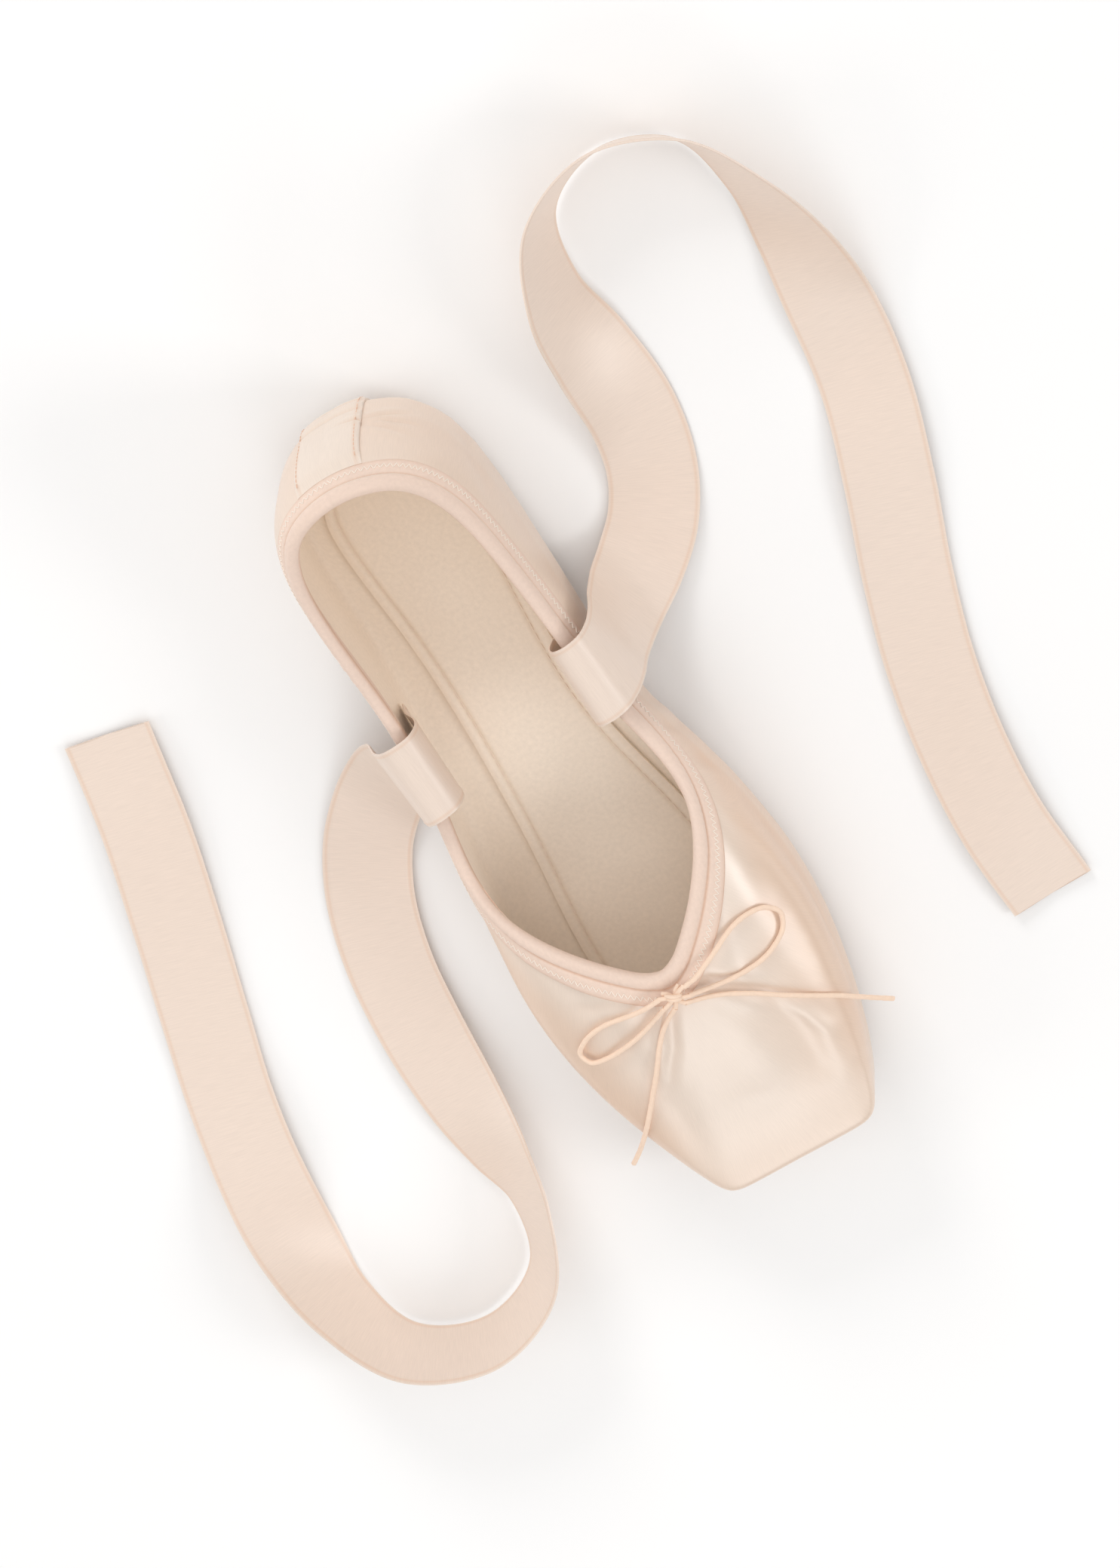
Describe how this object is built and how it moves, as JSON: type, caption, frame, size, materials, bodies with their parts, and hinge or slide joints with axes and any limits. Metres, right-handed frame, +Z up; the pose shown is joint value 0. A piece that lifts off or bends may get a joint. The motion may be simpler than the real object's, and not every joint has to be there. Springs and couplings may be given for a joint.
{
  "type": "pointe shoe",
  "caption": "Satin pointe shoe with a flat platform toe, drawstring bow at the throat, thin inset leather sole and two ankle ribbons lying beside it.",
  "frame": {"origin": "on the floor, under the middle of the shoe's length and width", "axes": "+X towards the toe, +Y to the wearer's left, +Z up"},
  "size_m": [0.2816, 0.2854, 0.0621],
  "materials": {
    "satin": "pale peach satin with a soft sheen",
    "binding": "matte bias strip in the same peach",
    "sole_leather": "pale sueded leather with a scored lattice",
    "lining": "plain cream cotton",
    "cord": "thin cotton cord, peach",
    "ribbon": "single-faced satin ribbon, peach"
  },
  "bodies": {
    "root": {"upper": "satin", "outsole": "sole_leather", "insole": "lining", "binding": "binding", "heel_strip": "satin", "drawstring_knot": "cord", "drawstring_loop_left": "cord", "drawstring_loop_right": "cord", "drawstring_end_left": "cord", "drawstring_end_right": "cord", "ribbon_left": "ribbon", "ribbon_right": "ribbon"}
  },
  "joints": []
}
